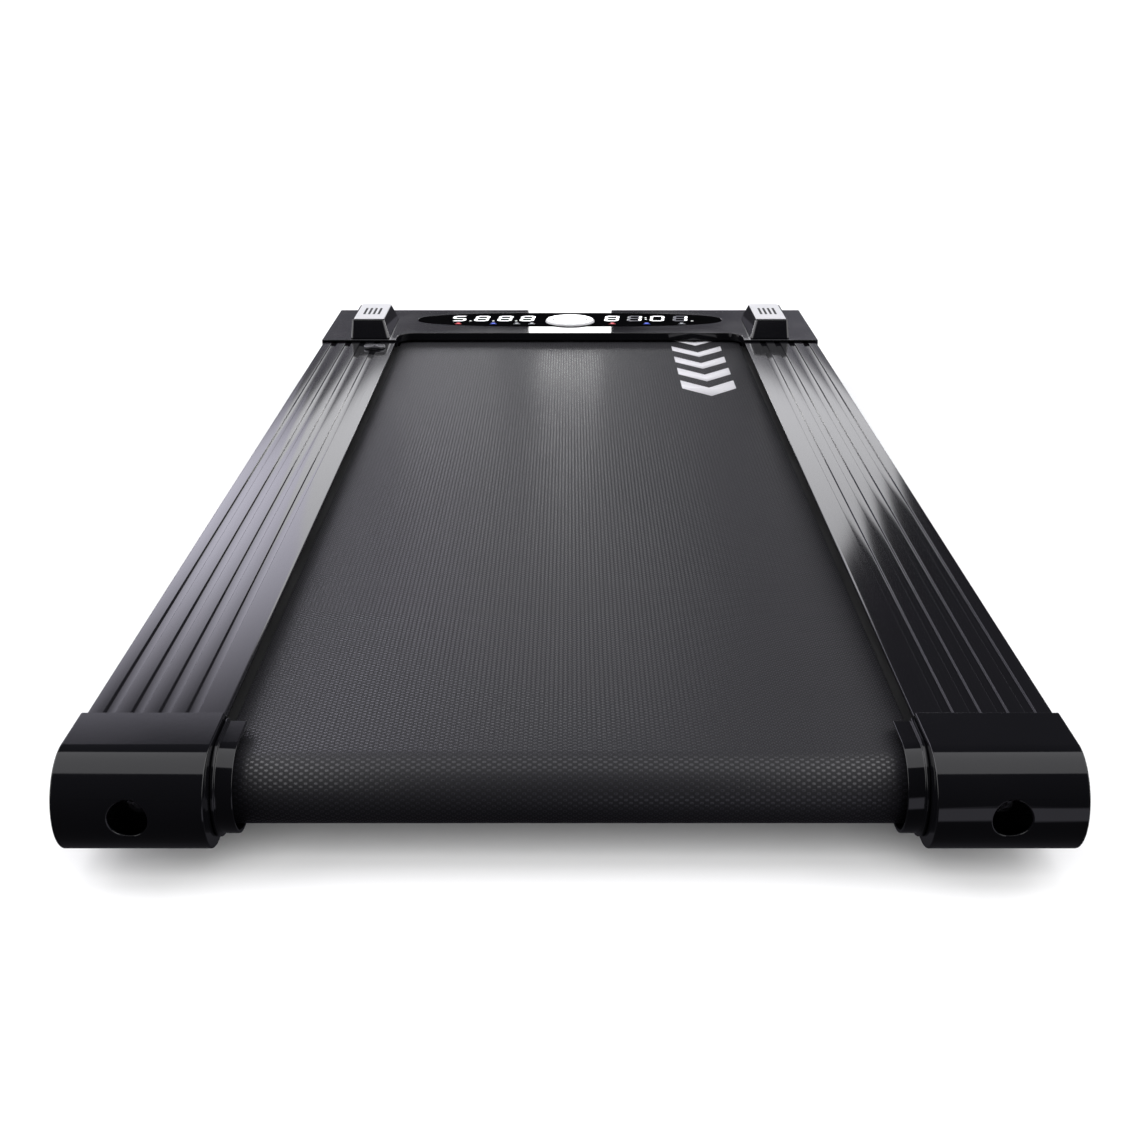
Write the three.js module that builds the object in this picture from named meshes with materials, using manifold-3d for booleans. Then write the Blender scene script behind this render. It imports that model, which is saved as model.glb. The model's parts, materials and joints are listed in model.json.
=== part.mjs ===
// Flat walking treadmill: two aluminium side rails, a deck and belt between them,
// a drive unit under the front hood and rounded end caps at the rear.
// Millimetres, +Z up, +Y towards the front (motor) end, floor at Z = 0.
import * as THREE from 'three';
import { mergeVertices } from 'three/addons/utils/BufferGeometryUtils.js';
import Module from 'manifold-3d';

const wasm = await Module();
wasm.setup();

// ---- driving dimensions ----
const overallLength = 1224;
const overallWidth = 570;
const footHeight = 20; // floor to the underside of the covers
const bodyHeight = 62; // underside to the top of caps and hood
const coverWall = 2; // moulded covers
const fit = 0.3; // gap between parts that touch

const railWidth = 82.2;
const railWall = 2.5;
const railPlate = 3; // top plate of the rail
const grooveWidth = 6.4;
const groovePitch = 16.2;
const grooveDepth = 1.6;
const grooveCount = 4;
const grooveOffset = 9.4; // rail edge to the first groove
const slotDepth = 21.5; // inward slot that takes the deck edge
const chamberStep = 5.5; // lip to the lower chamber

const capLength = 71;
const boltHoleRadius = 11;

const rollerRadius = 19.7;
const rollerWall = 3.2;
const beltThickness = 2;
const beltDrop = 11; // belt surface below the hood top
const beltEdgeGap = 2.5; // belt edge to rail lip
const axleSetback = 8.4; // rail end to the rear axle
const frontRollerInset = 134; // front end to the front roller

const deckThickness = 15;
const deckEndGap = 17; // deck end to the roller
const deckOverlap = 18.5; // deck edge past the rail lip
const cushionThickness = 2.7;
const cushionLength = 60;
const crossMemberDrop = 4.2; // underside of the deck to the cross members
const crossMemberDepth = 32;
const crossMemberWall = 2;

const hoodSideLength = 192; // hood over the rails
const hoodBeltLength = 156; // hood over the belt
const hoodCornerRadius = 18;
const hoodLipHeight = 9;
const railUnderHood = 20;

const axleRadius = 6;
const bearingWidth = 10;
const sidePlateThickness = 4;
const sidePlateInset = 53; // hood side to side plate
const sheetSteel = 2;

const pulleyRadius = 20.5;
const pulleyRatio = 2.5;
const pulleyWidth = 17;
const driveBeltThickness = 3;
const driveBeltWidth = 13;
const motorRadius = 21.5;
const motorLength = 116;
const motorSpacing = 70; // front roller axis to motor axis
const motorShaftRadius = 4;
const fanRadius = 20;

const wheelRadius = 23;
const wheelWidth = 22;
const wheelClearance = 2; // above the floor while the treadmill lies flat
const wheelInset = 27; // front end to wheel axis
const wheelPinRadius = 3.7;
const wellWall = 3;

const footRadius = 22.5;
const rearFootInset = 112;
const frontFootInset = 232;

const windowLength = 367;
const windowWidth = 77;
const windowInset = 83; // front end to window centre
const windowPower = 2.6;
const lensThickness = 2.9;
const buttonRingRadius = 29.5;
const buttonRadius = 20;
const buttonRise = 3.4;
const buttonInset = 92; // front end to button centre
const buttonTravel = 1.5;

const blockWidth = 45;
const blockLength = 112;
const blockHeight = 20;
const blockInset = 32; // hood side to block
const blockRear = 6; // hood rear edge to block
const blockChamfer = 2.4;
const blockPlate = 1;

// ---- places worked out from them ----
const halfWidth = overallWidth / 2;
const rearEnd = -overallLength / 2;
const frontEnd = overallLength / 2;
const underside = footHeight;
const top = underside + bodyHeight;
const noseRadius = bodyHeight / 2;
const noseZ = underside + noseRadius;

const railOuter = halfWidth - coverWall - fit;
const railInner = railOuter - railWidth;
const railTop = top - coverWall - fit;
const railBottom = underside + coverWall + fit;
const railRear = rearEnd + noseRadius + 5;
const railFront = frontEnd - hoodSideLength + railUnderHood;
const capInner = railInner + 2 * fit - 0.1;
const capFront = rearEnd + capLength;
const boltX = (capInner + halfWidth) / 2;

const beltHalf = railInner - beltEdgeGap;
const beltTop = top - beltDrop;
const beltOuterRadius = rollerRadius + fit + beltThickness;
const rollerZ = beltTop - beltOuterRadius;
const rearRollerY = railRear + axleSetback;
const frontRollerY = frontEnd - frontRollerInset;
const returnRunTop = rollerZ - rollerRadius - fit;
const deckTop = beltTop - beltThickness - fit;
const deckBottom = deckTop - deckThickness;
const shelfTop = deckBottom - cushionThickness - 2 * fit;
const webX = railInner + slotDepth;
const chamberX = railInner + chamberStep;
const deckRear = rearRollerY + rollerRadius + deckEndGap;
const deckFront = frontRollerY - rollerRadius - deckEndGap + 5;
const deckLength = deckFront - deckRear;

const hoodRear = frontEnd - hoodSideLength;
const hoodLipY = frontEnd - hoodBeltLength;
const sidePlateX = halfWidth - sidePlateInset;
const frameFront = frontEnd - noseRadius - 1;
const frameFloor = railBottom + 0.1 + sheetSteel;
const motorY = frontRollerY + motorSpacing;
const motorZ = rollerZ - 0.5;
const pulleyX = beltHalf + 6.5; // inner face of the driven pulley
const windowY = frontEnd - windowInset;
const buttonY = frontEnd - buttonInset;
const wheelY = frontEnd - wheelInset;
const wheelZ = wheelRadius + wheelClearance;
const wheelX = halfWidth - 34;
const boardZ = top - coverWall - 6.5; // underside of the display board

// ---- materials ----
const finish = (color, roughness, metalness) =>
  new THREE.MeshStandardMaterial({ color, roughness, metalness });
const anodised = finish(0x2b2a2f, 0.35, 0.8);
const blackPlastic = finish(0x0f0f11, 0.15, 0);
const mattePlastic = finish(0x1a1a1c, 0.6, 0);
const beltRubber = finish(0x2b2a2e, 0.7, 0);
const rubber = finish(0x161616, 0.85, 0);
const steel = finish(0x9a9ca0, 0.35, 1);
const paintedSteel = finish(0x1d1e20, 0.5, 0.2);
const aluminium = finish(0xb8babd, 0.35, 1);
const whitePlastic = finish(0xf0f0f0, 0.3, 0);
const board = finish(0x1c4a2e, 0.6, 0);
const deckLaminate = finish(0x232325, 0.5, 0);

// ---- geometry helpers ----
const box = (x0, x1, y0, y1, z0, z1) =>
  new THREE.BoxGeometry(x1 - x0, y1 - y0, z1 - z0)
    .translate((x0 + x1) / 2, (y0 + y1) / 2, (z0 + z1) / 2);

const outline = (points) => new THREE.Shape(points.map(([a, b]) => new THREE.Vector2(a, b)));

function extrude(shape, depth, segments = 12) {
  return new THREE.ExtrudeGeometry(shape, { depth, bevelEnabled: false, curveSegments: segments });
}

// a section drawn in X and Z, run along Y
const alongY = (shape, y0, y1, segments) =>
  extrude(shape, y1 - y0, segments).rotateX(Math.PI / 2).translate(0, y1, 0);

// a section drawn in Y and Z, run along X
const toX = new THREE.Matrix4().makeBasis(
  new THREE.Vector3(0, 1, 0), new THREE.Vector3(0, 0, 1), new THREE.Vector3(1, 0, 0));
const alongX = (shape, x0, x1, segments) =>
  extrude(shape, x1 - x0, segments).applyMatrix4(toX).translate(x0, 0, 0);

const alongZ = (shape, z0, z1, segments) => extrude(shape, z1 - z0, segments).translate(0, 0, z0);

const rodX = (radius, x0, x1, y, z, segments = 20) =>
  new THREE.CylinderGeometry(radius, radius, x1 - x0, segments)
    .rotateZ(Math.PI / 2).translate((x0 + x1) / 2, y, z);
const rodY = (radius, y0, y1, x, z, segments = 20) =>
  new THREE.CylinderGeometry(radius, radius, y1 - y0, segments)
    .translate(x, (y0 + y1) / 2, z);
const rodZ = (radius, z0, z1, x, y, segments = 32) =>
  new THREE.CylinderGeometry(radius, radius, z1 - z0, segments)
    .rotateX(Math.PI / 2).translate(x, y, (z0 + z1) / 2);

// a profile of radius and distance along the axle, turned about an axle along X
function turnedX(profile, y, z, segments = 28) {
  const points = [...profile, profile[0]].map(([r, along]) => new THREE.Vector2(r, along));
  return new THREE.LatheGeometry(points, segments).rotateZ(-Math.PI / 2).translate(0, y, z);
}

function solid(geometry) {
  const bare = geometry.clone();
  bare.deleteAttribute('normal');
  bare.deleteAttribute('uv');
  const merged = mergeVertices(bare, 1e-4);
  const triVerts = Uint32Array.from(merged.index.array);
  const vertProperties = Float32Array.from(merged.attributes.position.array);
  return new wasm.Manifold(new wasm.Mesh({ numProp: 3, vertProperties, triVerts }));
}

function shape(manifold) {
  const mesh = manifold.getMesh();
  const geometry = new THREE.BufferGeometry();
  geometry.setAttribute('position', new THREE.BufferAttribute(mesh.vertProperties, 3));
  geometry.setIndex(new THREE.BufferAttribute(mesh.triVerts, 1));
  geometry.computeVertexNormals();
  return geometry;
}

const joined = (base, ...others) => others.reduce((all, one) => all.add(solid(one)), solid(base));
const cut = (base, ...tools) => shape(tools.reduce((left, tool) => left.subtract(solid(tool)),
  base instanceof THREE.BufferGeometry ? solid(base) : base));

function mirrored(geometry) {
  const flipped = geometry.clone().scale(-1, 1, 1);
  if (!flipped.index) flipped.setIndex([...Array(flipped.attributes.position.count).keys()]);
  const index = flipped.index.array;
  for (let i = 0; i < index.length; i += 3) {
    [index[i], index[i + 1]] = [index[i + 1], index[i]];
  }
  return flipped;
}

const treadmill = new THREE.Group();
function add(name, geometry, material) {
  const mesh = new THREE.Mesh(geometry, material);
  mesh.name = name;
  treadmill.add(mesh);
}

// the right-hand piece and its mirror image
function addPair(name, geometry, material) {
  add(`right_${name}`, geometry, material);
  add(`left_${name}`, mirrored(geometry), material);
}

// ---- side rails ----
function railSection() {
  const points = [[chamberX, railBottom], [railOuter, railBottom], [railOuter, railTop]];
  for (let i = 0; i < grooveCount; i++) {
    const outer = railOuter - grooveOffset - i * groovePitch;
    const inner = outer - grooveWidth;
    const floor = railTop - grooveDepth;
    points.push([outer, railTop], [outer, floor], [inner, floor], [inner, railTop]);
  }
  const plateBottom = railTop - railPlate;
  points.push([railInner, railTop], [railInner, plateBottom], [webX, plateBottom]);
  points.push([webX, shelfTop], [chamberX, shelfTop]);
  return outline(points);
}

const axleSlot = axleRadius + 2;
const railFloor = railBottom + railWall;
addPair('rail', cut(alongY(railSection(), railRear, railFront),
  // the two hollow chambers, either side of the upright web
  box(webX + railWall, railOuter - railWall, railRear - 1, railFront + 1, railFloor, railTop - railPlate),
  box(chamberX + railWall, webX, railRear - 1, railFront + 1, railFloor, shelfTop - railWall),
  // the lip is cut back where the end cap's inner wall passes
  box(railInner - 1, capInner + coverWall + fit, railRear - 1, capFront + fit, railBottom - 1, top),
  // open slot for the rear axle
  box(railInner - 1, boltX + axleSlot + 1, railRear - 1, rearRollerY + 22, rollerZ - axleSlot, rollerZ + axleSlot),
), anodised);

// ---- deck, its cushions and the cross members ----
const deckHalf = railInner + deckOverlap;
add('deck_board', box(-deckHalf, deckHalf, deckRear, deckFront, deckBottom, deckTop), deckLaminate);

const cushionInner = chamberX + 2;
for (const [end, place] of [['rear', 0.12], ['front', 0.88]]) {
  const y = deckRear + deckLength * place;
  addPair(`${end}_deck_cushion`, box(cushionInner, deckHalf - 1, y - cushionLength / 2,
    y + cushionLength / 2, shelfTop + fit, deckBottom - fit), rubber);
}

const memberBottom = returnRunTop + 2.5;
const memberTop = deckBottom - crossMemberDrop;
for (const [end, place] of [['rear', 0.08], ['middle', 0.5], ['front', 0.92]]) {
  const y = deckRear + deckLength * place;
  const length = chamberX - fit;
  const half = crossMemberDepth / 2;
  const wall = crossMemberWall;
  add(`${end}_cross_member`, cut(box(-length, length, y - half, y + half, memberBottom, memberTop),
    box(-length - 1, length + 1, y - half + wall, y + half - wall, memberBottom + wall, memberTop - wall),
  ), paintedSteel);
}

// ---- running belt and rollers ----
function loopOutline(y0, r0, z0, y1, r1, z1) {
  // two circles joined by their outer tangents
  const distance = Math.hypot(y1 - y0, z1 - z0);
  const tilt = Math.atan2(z1 - z0, y1 - y0);
  const lean = Math.acos((r0 - r1) / distance);
  const loop = new THREE.Shape();
  loop.absarc(y0, z0, r0, tilt + lean, tilt - lean + 2 * Math.PI, false);
  loop.absarc(y1, z1, r1, tilt - lean, tilt + lean, false);
  loop.closePath();
  return loop;
}

function beltLoop(x0, x1, rear, front, thickness, segments) {
  const outer = loopOutline(rear.y, rear.r + thickness, rear.z, front.y, front.r + thickness, front.z);
  const inner = loopOutline(rear.y, rear.r, rear.z, front.y, front.r, front.z);
  return cut(alongX(outer, x0, x1, segments), alongX(inner, x0 - 1, x1 + 1, segments));
}

const beltSeat = rollerRadius + fit;
add('running_belt', beltLoop(-beltHalf, beltHalf,
  { y: rearRollerY, z: rollerZ, r: beltSeat }, { y: frontRollerY, z: rollerZ, r: beltSeat },
  beltThickness, 16), beltRubber);

const rollerBore = rollerRadius - rollerWall;
const rollerTube = [[rollerBore, -beltHalf], [rollerRadius, -beltHalf], [rollerRadius, beltHalf], [rollerBore, beltHalf]];
const bearingRadius = rollerBore - fit;
const bearingInset = 3;
const bearingProfile = (x0) => [[axleRadius + fit, x0], [bearingRadius, x0],
  [bearingRadius, x0 + bearingWidth], [axleRadius + fit, x0 + bearingWidth]];
for (const [end, y] of [['rear', rearRollerY], ['front', frontRollerY]]) {
  add(`${end}_roller`, turnedX(rollerTube, y, rollerZ, 32), steel);
  const x0 = beltHalf - bearingInset - bearingWidth;
  addPair(`${end}_bearing`, turnedX(bearingProfile(x0), y, rollerZ, 20), steel);
}

const boltRadius = 4;
const rearAxleHalf = boltX + 8;
add('rear_axle', cut(rodX(axleRadius, -rearAxleHalf, rearAxleHalf, rearRollerY, rollerZ, 16),
  rodY(boltRadius + fit, rearRollerY - 10, rearRollerY + 10, boltX, rollerZ, 12),
  rodY(boltRadius + fit, rearRollerY - 10, rearRollerY + 10, -boltX, rollerZ, 12)), steel);

// ---- belt tension hardware ----
const plateThickness = 4;
const plateFront = railRear - fit;
const plateRear = plateFront - plateThickness;
const plateX0 = webX + railWall + 1.5;
addPair('tension_plate', cut(
  box(plateX0, railOuter - railWall - 1.5, plateRear, plateFront, railBottom + 5, railTop - 6),
  rodY(boltRadius + 0.5, plateRear - 1, plateFront + 1, boltX, rollerZ, 16)), steel);

const headLength = 8;
const headRadius = 6.5;
const socketRadius = 3.5;
const headFront = plateRear - fit;
addPair('tension_bolt', shape(joined(rodY(boltRadius, headFront - 1, rearRollerY + 44, boltX, rollerZ, 12),
  rodY(headRadius, headFront - headLength, headFront, boltX, rollerZ, 20))
  .subtract(solid(rodY(socketRadius, headFront - headLength - 1, headFront - 4, boltX, rollerZ, 6)))), steel);

// ---- rear end caps and belt guards ----
// a D-shaped side view: half round nose at the rear, flat top and bottom
function rearNose(y, z, radius, front) {
  const side = new THREE.Shape();
  side.moveTo(front, z + radius);
  side.lineTo(y, z + radius);
  side.absarc(y, z, radius, Math.PI / 2, 1.5 * Math.PI, false);
  side.lineTo(front, z - radius);
  side.closePath();
  return side;
}

const rearNoseY = rearEnd + noseRadius;
const capShell = alongX(rearNose(rearNoseY, noseZ, noseRadius, capFront), capInner, halfWidth, 36);
const capHollow = alongX(rearNose(rearNoseY, noseZ, noseRadius - coverWall, capFront + 1),
  capInner + coverWall, halfWidth - coverWall, 20);
addPair('end_cap', cut(capShell, capHollow,
  rodY(boltHoleRadius, rearEnd - 1, rearNoseY, boltX, noseZ, 40),
  box(capInner - 1, capInner + coverWall + 1, rearRollerY - axleSlot, capFront + 1,
    rollerZ - axleSlot, rollerZ + axleSlot)), blackPlastic);

const guardRadius = 27.6;
const guardFlange = 29.5;
const guardWidth = 12.2;
const guardX0 = capInner - fit - guardWidth;
const guardWallX = beltHalf + 0.6;
addPair('belt_guard', shape(
  joined(alongX(rearNose(rearRollerY, rollerZ, guardRadius, capFront), guardX0, guardWallX + 1, 24),
    alongX(rearNose(rearRollerY, rollerZ, guardFlange, capFront), guardWallX, capInner - fit, 24))
    .subtract(solid(alongX(rearNose(rearRollerY, rollerZ, guardRadius - coverWall, capFront + 1),
      guardX0 - 1, guardWallX, 16)))
    .subtract(solid(rodX(axleRadius + 1, guardWallX - 1, capInner + 1, rearRollerY, rollerZ, 16)))),
  blackPlastic);

// ---- front frame and drive ----
const armRear = railFront - 40;
const armBottom = railBottom + railWall + 2;
const armTop = railTop - railPlate - 3;
const plateRise = railBottom + 0.1;
function sidePlate(x0, x1) {
  return joined(box(x0, x1, railFront + 6, frameFront, plateRise, armTop),
    box(x0, x1, armRear, railFront + 7, armBottom, armTop));
}
const plateOuter = sidePlateX;
const plateInner = sidePlateX - sidePlateThickness;
add('front_frame', shape(solid(box(-plateOuter, plateOuter, railFront + 6, frameFront, plateRise, frameFloor))
  .add(sidePlate(plateInner, plateOuter))
  .add(sidePlate(-plateOuter, -plateInner))
  .subtract(solid(rodX(axleRadius + fit, -plateOuter - 1, plateOuter + 1, frontRollerY, rollerZ, 16)))
  .subtract(solid(rodX(motorShaftRadius + 3, plateInner - 1, plateOuter + 1, motorY, motorZ, 16)))),
  paintedSteel);
add('front_axle', rodX(axleRadius, -plateOuter, plateOuter, frontRollerY, rollerZ, 16), steel);

const hubRadius = 15;
const pulleyProfile = [[axleRadius + fit, beltHalf + fit], [hubRadius, beltHalf + fit], [hubRadius, pulleyX],
  [pulleyRadius, pulleyX], [pulleyRadius, pulleyX + pulleyWidth], [axleRadius + fit, pulleyX + pulleyWidth]];
add('driven_pulley', turnedX(pulleyProfile, frontRollerY, rollerZ, 32), mattePlastic);

const motorPulleyRadius = pulleyRadius / pulleyRatio;
const shaftGap = 0.2;
add('motor_pulley', turnedX([[motorShaftRadius + shaftGap, pulleyX], [motorPulleyRadius, pulleyX],
  [motorPulleyRadius, pulleyX + pulleyWidth], [motorShaftRadius + shaftGap, pulleyX + pulleyWidth]],
motorY, motorZ, 20), steel);
const driveBeltX = pulleyX + (pulleyWidth - driveBeltWidth) / 2;
add('drive_belt', beltLoop(driveBeltX, driveBeltX + driveBeltWidth,
  { y: frontRollerY, z: rollerZ, r: pulleyRadius + fit }, { y: motorY, z: motorZ, r: motorPulleyRadius + fit },
  driveBeltThickness, 16), rubber);

const bracketX = pulleyX - 20;
const motorX1 = bracketX - fit;
const motorX0 = motorX1 - motorLength;
const bellLength = 14;
const bellRadius = motorRadius - 1.5;
add('motor_body', turnedX([[motorShaftRadius + 0.5, motorX0], [bellRadius, motorX0],
  [bellRadius, motorX0 + bellLength], [motorRadius, motorX0 + bellLength], [motorRadius, motorX1 - bellLength],
  [bellRadius, motorX1 - bellLength], [bellRadius, motorX1], [motorShaftRadius + 0.5, motorX1]],
motorY, motorZ, 28), paintedSteel);
const fanX = motorX0 - 22;
const fanWidth = 16;
add('motor_shaft', rodX(motorShaftRadius, fanX - 3, pulleyX + pulleyWidth + 1, motorY, motorZ, 12), steel);

const fanHub = 9;
const fanBlades = 8;
const bladeWidth = 2.4;
const blades = [];
for (let i = 0; i < fanBlades; i++) {
  const blade = box(-fanWidth / 2, fanWidth / 2, -bladeWidth / 2, bladeWidth / 2, fanHub - 2, fanRadius);
  blades.push(blade.rotateX((i / fanBlades) * 2 * Math.PI).translate(fanX + fanWidth / 2, motorY, motorZ));
}
add('motor_fan', cut(joined(rodX(fanHub, fanX, fanX + fanWidth, motorY, motorZ, 16), ...blades),
  rodX(motorShaftRadius + shaftGap, fanX - 1, fanX + fanWidth + 1, motorY, motorZ, 12)), mattePlastic);

const bracketFoot = 30;
const bracketFloor = frameFloor + fit;
add('motor_bracket', cut(joined(box(bracketX, bracketX + 3, motorY - 24, motorY + 24, bracketFloor, motorZ + 22),
  box(bracketX - bracketFoot, bracketX + 3, motorY - 24, motorY + 24, bracketFloor, bracketFloor + 1.8)),
rodX(motorShaftRadius + 4, bracketX - 1, bracketX + 4, motorY, motorZ, 16)), paintedSteel);

// ---- controller ----
const controllerX0 = -plateInner + 28;
const controllerLength = 150;
const controllerY0 = frontRollerY + beltOuterRadius + 12;
const controllerY1 = controllerY0 + 58;
const controllerZ = frameFloor + 6;
const boardThickness = 1.6;
const boardTop = controllerZ + boardThickness;
const heatsinkLength = 60;
const controllerParts = [];
for (const [x, y] of [[4, 4], [controllerLength - 10, 4], [4, 48], [controllerLength - 10, 48]]) {
  const x0 = controllerX0 + x;
  const y0 = controllerY0 + y;
  controllerParts.push(box(x0, x0 + 6, y0, y0 + 6, frameFloor + fit, controllerZ + 0.5));
}
for (const [x, y, length, depth, height] of [[70, 8, 24, 20, 16], [100, 8, 14, 14, 24], [120, 8, 14, 14, 24],
  [72, 36, 30, 16, 12], [112, 34, 26, 18, 10]]) {
  const x0 = controllerX0 + x;
  const y0 = controllerY0 + y;
  controllerParts.push(box(x0, x0 + length, y0, y0 + depth, boardTop - 0.5, boardTop + height));
}
add('controller_board', shape(joined(box(controllerX0, controllerX0 + controllerLength, controllerY0,
  controllerY1, controllerZ, boardTop), ...controllerParts)), board);

const heatsinkX0 = controllerX0 + 4;
const finCount = 8;
const finThickness = 1.6;
const finPitch = (heatsinkLength - finThickness) / (finCount - 1);
const fins = [];
for (let i = 0; i < finCount; i++) {
  const x0 = heatsinkX0 + i * finPitch;
  fins.push(box(x0, x0 + finThickness, controllerY0 + 6, controllerY1 - 6, boardTop + 3, boardTop + 24));
}
add('controller_heatsink', shape(joined(box(heatsinkX0, heatsinkX0 + heatsinkLength, controllerY0 + 6,
  controllerY1 - 6, boardTop + fit, boardTop + 4), ...fins)), aluminium);

// ---- front hood ----
// half of the front nose, above or below the line where hood and pan meet
const seam = noseZ;
const frontNoseY = frontEnd - noseRadius;
function frontNose(radius, rear, side, edge) {
  const half = new THREE.Shape();
  half.moveTo(rear, edge);
  half.lineTo(frontNoseY + Math.sqrt(radius ** 2 - (edge - noseZ) ** 2), edge);
  const start = Math.asin((edge - noseZ) / radius);
  half.absarc(frontNoseY, noseZ, radius, start, side * Math.PI / 2, side < 0);
  half.lineTo(rear, noseZ + side * radius);
  half.closePath();
  return half;
}

function beltOpening(grow) {
  const x = railInner - 0.5 + grow;
  const y = hoodLipY + grow;
  const radius = hoodCornerRadius + grow;
  const opening = new THREE.Shape();
  opening.moveTo(-x, hoodRear - 5);
  opening.lineTo(x, hoodRear - 5);
  opening.lineTo(x, y - radius);
  opening.absarc(x - radius, y - radius, radius, 0, Math.PI / 2, false);
  opening.lineTo(-x + radius, y);
  opening.absarc(-x + radius, y - radius, radius, Math.PI / 2, Math.PI, false);
  opening.closePath();
  return opening;
}

function windowOutline(grow) {
  const a = windowLength / 2 + grow;
  const b = windowWidth / 2 + grow;
  const steps = 64;
  const points = [];
  for (let i = 0; i < steps; i++) {
    const t = (i / steps) * 2 * Math.PI;
    const c = Math.cos(t);
    const s = Math.sin(t);
    points.push([a * Math.sign(c) * Math.abs(c) ** (2 / windowPower),
      windowY + b * Math.sign(s) * Math.abs(s) ** (2 / windowPower)]);
  }
  return outline(points);
}

const lipBottom = top - hoodLipHeight;
const lipWall = 2.2;
const hoodShell = solid(alongX(frontNose(noseRadius, hoodRear, 1, seam), -halfWidth, halfWidth, 20))
  .subtract(solid(alongX(frontNose(noseRadius - coverWall, hoodRear - 1, 1, seam - 1),
    -halfWidth + coverWall, halfWidth - coverWall, 12)));
const lip = solid(alongZ(beltOpening(lipWall), lipBottom, top - coverWall + 0.5, 10))
  .intersect(solid(box(-railInner + fit, railInner - fit, hoodRear, frontEnd, lipBottom, top)));
add('front_hood', shape(hoodShell.add(lip)
  .subtract(solid(alongZ(beltOpening(0), lipBottom - 1, top + 1, 10)))
  .subtract(solid(alongZ(windowOutline(fit), top - coverWall - 1, top + 1)))
  .subtract(solid(rodZ(buttonRingRadius + fit, top - coverWall - 1, top + 1, 0, buttonY, 40)))), blackPlastic);

// ---- display and start button ----
const lensTop = top + 0.2;
const lensBottom = lensTop - lensThickness;
add('display_window', cut(alongZ(windowOutline(0), lensBottom, lensTop),
  rodZ(buttonRingRadius + fit, lensBottom - 1, lensTop + 1, 0, buttonY, 40)), blackPlastic);

const displayHalf = windowLength / 2 - 9;
const displayRear = windowY - windowWidth / 2 + 9;
const displayFront = windowY + windowWidth / 2 - 8;
const displayTop = boardZ + boardThickness;
const moduleTop = lensBottom - fit;
const moduleDepth = 26;
const moduleLength = 112;
const modules = [-1, 1].map((side) => {
  const x = side * (buttonRingRadius + 8 + moduleLength / 2);
  return box(x - moduleLength / 2, x + moduleLength / 2, windowY - moduleDepth / 2, windowY + moduleDepth / 2,
    displayTop - 0.5, moduleTop);
});
add('display_board', shape(joined(box(-displayHalf, displayHalf, displayRear, displayFront, boardZ, displayTop),
  ...modules)), board);

const ringFlange = 2.4;
const ringBottom = displayTop + fit;
const ringTop = top + buttonRise - 1;
const turnedZ = (profile, x, y, segments) => {
  const points = [...profile, profile[0]].map(([r, z]) => new THREE.Vector2(r, z));
  return new THREE.LatheGeometry(points, segments).rotateX(Math.PI / 2).translate(x, y, 0);
};
add('button_ring', turnedZ([[buttonRadius + 0.6, ringBottom], [buttonRingRadius + 3, ringBottom],
  [buttonRingRadius + 3, ringBottom + ringFlange], [buttonRingRadius, ringBottom + ringFlange],
  [buttonRingRadius, ringTop - 1.2], [buttonRingRadius - 1.2, ringTop], [buttonRadius + 0.6, ringTop]],
0, buttonY, 40), whitePlastic);

const buttonBottom = displayTop + buttonTravel + 1;
const buttonTop = top + buttonRise;
add('start_button', turnedZ([[0, buttonBottom], [buttonRadius, buttonBottom], [buttonRadius, buttonTop - 1.5],
  [buttonRadius - 1.5, buttonTop - 0.4], [buttonRadius * 0.6, buttonTop], [0, buttonTop]],
0, buttonY, 40), whitePlastic);

// ---- corner blocks on the hood ----
// an eight-sided foot that tapers to a smaller eight-sided top
function taperedBlock(foot, head, z0, z1) {
  const ring = ({ x0, x1, y0, y1, c }) => [[x0 + c, y0], [x1 - c, y0], [x1, y0 + c], [x1, y1 - c],
    [x1 - c, y1], [x0 + c, y1], [x0, y1 - c], [x0, y0 + c]];
  const low = ring(foot);
  const high = ring(head);
  const count = low.length;
  const positions = [...low.map(([x, y]) => [x, y, z0]), ...high.map(([x, y]) => [x, y, z1])].flat();
  const index = [];
  for (let i = 0; i < count; i++) {
    const next = (i + 1) % count;
    index.push(i, next, count + next, i, count + next, count + i);
  }
  for (let i = 1; i < count - 1; i++) {
    index.push(0, i + 1, i, count, count + i, count + i + 1);
  }
  const geometry = new THREE.BufferGeometry();
  geometry.setAttribute('position', new THREE.Float32BufferAttribute(positions, 3));
  geometry.setIndex(index);
  geometry.computeVertexNormals();
  return geometry;
}

const blockX1 = halfWidth - blockInset;
const blockX0 = blockX1 - blockWidth;
const blockY0 = hoodRear + blockRear;
const blockFoot = { x0: blockX0, x1: blockX1, y0: blockY0, y1: blockY0 + blockLength, c: blockChamfer };
const blockHead = { x0: blockX0 + 7, x1: blockX1 - 0.5, y0: blockY0 + 15, y1: blockY0 + blockLength - 12,
  c: blockChamfer - 0.5 };
const blockTop = top + blockHeight - blockPlate - fit;
const plateInset = 0.4;
const plateOutline = { x0: blockHead.x0 + plateInset, x1: blockHead.x1 - plateInset - 2,
  y0: blockHead.y0 + plateInset, y1: blockHead.y1 - plateInset, c: blockHead.c - plateInset / 2 };
addPair('corner_block', taperedBlock(blockFoot, blockHead, top + fit, blockTop), blackPlastic);
addPair('block_plate', taperedBlock(plateOutline, plateOutline, blockTop + fit, top + blockHeight), aluminium);

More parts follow.
